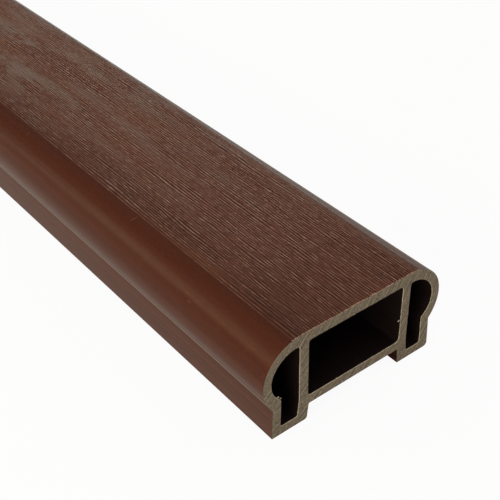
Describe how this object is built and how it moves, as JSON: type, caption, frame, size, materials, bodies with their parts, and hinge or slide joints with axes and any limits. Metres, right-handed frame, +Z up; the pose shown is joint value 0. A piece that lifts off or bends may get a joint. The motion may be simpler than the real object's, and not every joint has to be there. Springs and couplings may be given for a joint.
{
  "type": "stair handrail length",
  "caption": "Straight length of hollow wood-plastic handrail: flat grained top, round bullnose sides, two feet with a channel between, and chambers open at both cut ends.",
  "frame": {"origin": "under the middle of the length, on the level of the soles of the two feet", "axes": "+X along the rail towards the cut end that the picture shows, +Y across the rail to the right of someone facing that end, +Z up out of the flat grained top"},
  "size_m": [1.8, 0.1, 0.0495],
  "materials": {
    "wood_plastic_composite": "matt red-brown extruded skin, wood grain embossed on the flat top, grey-olive sawn ends"
  },
  "bodies": {
    "root": {"handrail": "wood_plastic_composite"}
  },
  "joints": []
}
